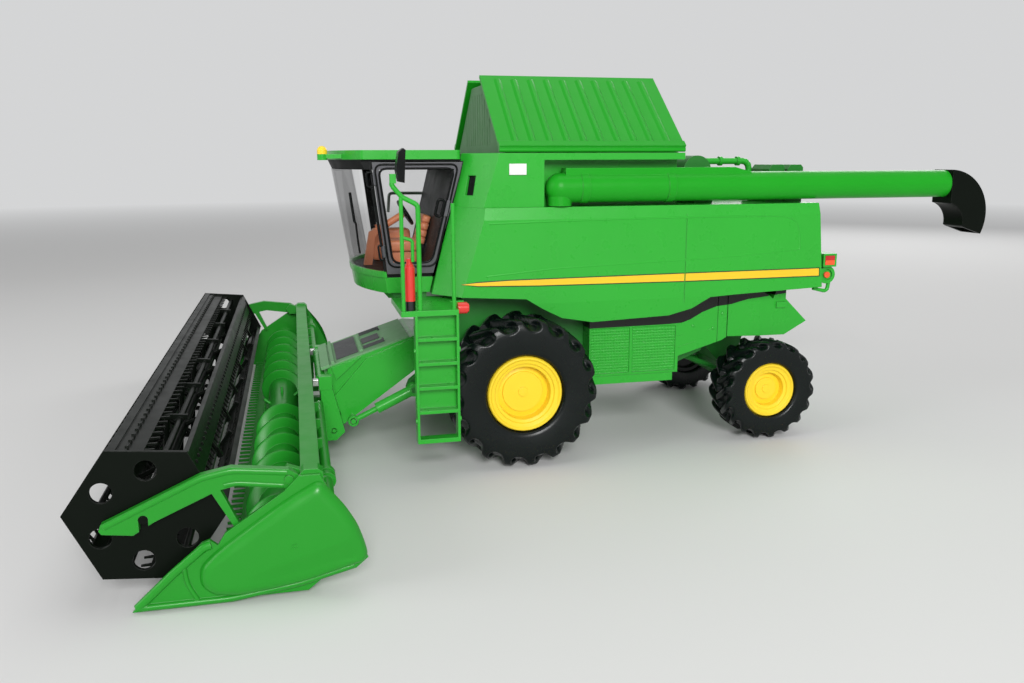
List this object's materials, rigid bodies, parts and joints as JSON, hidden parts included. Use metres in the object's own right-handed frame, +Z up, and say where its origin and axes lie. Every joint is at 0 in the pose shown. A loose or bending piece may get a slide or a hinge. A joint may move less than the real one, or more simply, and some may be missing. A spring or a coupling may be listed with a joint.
{
  "type": "toy combine harvester",
  "caption": "Toy combine harvester with grain header, tined reel, cab, folding tank lids and a swinging unloading tube.",
  "frame": {"origin": "on the ground under the middle of the toy's overall length and width", "axes": "+X towards the machine's left side, +Y towards its rear, +Z up"},
  "size_m": [0.2958, 0.3478, 0.1492],
  "materials": {
    "green_plastic": "glossy",
    "dark_green_plastic": "satin",
    "black_plastic": "glossy",
    "grey_plastic": "satin",
    "clear_plastic": "clear",
    "yellow_plastic": "glossy",
    "brown_plastic": "satin",
    "red_plastic": "glossy",
    "white_plastic": "glossy",
    "silver_metal": "polished",
    "tyre_rubber": "satin"
  },
  "bodies": {
    "root": {"body_shell": "green_plastic", "grain_tank": "green_plastic", "tank_screens": "green_plastic", "chassis": "dark_green_plastic", "side_covers": "green_plastic", "straw_chopper": "green_plastic", "deck_boxes": "dark_green_plastic", "exhaust": "green_plastic", "tail_lamps": "green_plastic", "side_lamps": "white_plastic", "cab_base": "green_plastic", "cab_frame": "black_plastic", "cab_roof": "green_plastic", "cab_glass": "clear_plastic", "beacon": "yellow_plastic", "seat": "brown_plastic", "steering_wheel": "black_plastic", "platform": "green_plastic", "ladder": "green_plastic", "handrails": "green_plastic", "mirrors": "black_plastic", "extinguisher": "red_plastic", "step_lamp": "red_plastic", "beacon_bracket": "green_plastic", "tail_lenses": "red_plastic", "front_axle": "dark_green_plastic", "rear_axle": "dark_green_plastic"},
    "feeder": {"feeder_house": "green_plastic", "feeder_cover": "green_plastic", "feeder_grip": "grey_plastic", "hitch_pins": "silver_metal", "header_frame": "green_plastic", "header_ends": "green_plastic", "knife_bar": "green_plastic"},
    "lift_barrels": {"lift_barrels": "green_plastic"},
    "lift_rods": {"lift_rods": "green_plastic"},
    "reel_arms": {"reel_arms": "green_plastic"},
    "reel": {"reel": "black_plastic"},
    "cross_auger": {"cross_auger": "green_plastic"},
    "unloading_tube": {"unloading_tube": "green_plastic", "spout": "black_plastic"},
    "lid_left": {"lid_left": "green_plastic"},
    "lid_right": {"lid_right": "green_plastic"},
    "door": {"door_frame": "grey_plastic", "door_glass": "clear_plastic"},
    "knuckle_left": {"knuckle_left": "green_plastic"},
    "knuckle_right": {"knuckle_right": "green_plastic"},
    "wheel_front_left": {"tyre_front_left": "tyre_rubber", "rim_front_left": "yellow_plastic"},
    "wheel_front_right": {"tyre_front_right": "tyre_rubber", "rim_front_right": "yellow_plastic"},
    "wheel_rear_left": {"tyre_rear_left": "tyre_rubber", "rim_rear_left": "yellow_plastic"},
    "wheel_rear_right": {"tyre_rear_right": "tyre_rubber", "rim_rear_right": "yellow_plastic"}
  },
  "joints": [
    {"name": "wheel_front_left_spin", "type": "hinge", "parent": "root", "child": "wheel_front_left", "pos_m": [0.0487, -0.02944, 0.029], "axis": [1, 0, 0], "continuous": true},
    {"name": "wheel_front_right_spin", "type": "hinge", "parent": "root", "child": "wheel_front_right", "pos_m": [-0.0487, -0.02944, 0.029], "axis": [1, 0, 0], "continuous": true},
    {"name": "steer_left", "type": "hinge", "parent": "root", "child": "knuckle_left", "pos_m": [0.0295, 0.07896, 0.0209], "axis": [0, 0, 1], "range_deg": [-20, 20]},
    {"name": "steer_right", "type": "hinge", "parent": "root", "child": "knuckle_right", "pos_m": [-0.0295, 0.07896, 0.0209], "axis": [0, 0, 1], "range_deg": [-20, 20]},
    {"name": "wheel_rear_left_spin", "type": "hinge", "parent": "knuckle_left", "child": "wheel_rear_left", "pos_m": [0.0418, 0.07896, 0.0209], "axis": [1, 0, 0], "continuous": true},
    {"name": "wheel_rear_right_spin", "type": "hinge", "parent": "knuckle_right", "child": "wheel_rear_right", "pos_m": [-0.0418, 0.07896, 0.0209], "axis": [1, 0, 0], "continuous": true},
    {"name": "feeder_lift", "type": "hinge", "parent": "root", "child": "feeder", "pos_m": [0, -0.05644, 0.039], "axis": [-1, 0, 0], "range_deg": [0, 16]},
    {"name": "lift_barrel_turn", "type": "hinge", "parent": "root", "child": "lift_barrels", "pos_m": [0, -0.06794, 0.0256], "axis": [-1, 0, 0], "range_deg": [0, 23.96]},
    {"name": "lift_rod_slide", "type": "slide", "parent": "lift_barrels", "child": "lift_rods", "axis": [0, -0.9067, -0.4219], "range_m": [0, 0.00292]},
    {"name": "reel_lift", "type": "hinge", "parent": "feeder", "child": "reel_arms", "pos_m": [0, -0.11604, 0.0332], "axis": [-1, 0, 0], "range_deg": [0, 18]},
    {"name": "reel_spin", "type": "hinge", "parent": "reel_arms", "child": "reel", "pos_m": [0, -0.15314, 0.0254], "axis": [1, 0, 0], "continuous": true},
    {"name": "auger_spin", "type": "hinge", "parent": "feeder", "child": "cross_auger", "pos_m": [0, -0.12004, 0.0136], "axis": [1, 0, 0], "continuous": true},
    {"name": "tube_swing", "type": "hinge", "parent": "root", "child": "unloading_tube", "pos_m": [0.0462, -0.01264, 0.1056], "axis": [0, 0, -1], "range_deg": [0, 95]},
    {"name": "lid_left_fold", "type": "hinge", "parent": "root", "child": "lid_left", "pos_m": [0.0471, 0.00056, 0.1198], "axis": [0, 1, 0], "range_deg": [0, 95]},
    {"name": "lid_right_fold", "type": "hinge", "parent": "root", "child": "lid_right", "pos_m": [-0.0471, 0.00056, 0.1198], "axis": [0, -1, 0], "range_deg": [0, 95]},
    {"name": "door_swing", "type": "hinge", "parent": "root", "child": "door", "pos_m": [0.0368, -0.08034, 0.0944], "axis": [0, 0.1079, -0.9942], "range_deg": [0, 70]}
  ],
  "couplings": [
    {"joint": "steer_right", "follows": "steer_left", "ratio": 1},
    {"joint": "lift_barrel_turn", "follows": "feeder_lift", "ratio": 1.4978},
    {"joint": "lift_rod_slide", "follows": "feeder_lift", "m_per_rad": 0.010468}
  ]
}
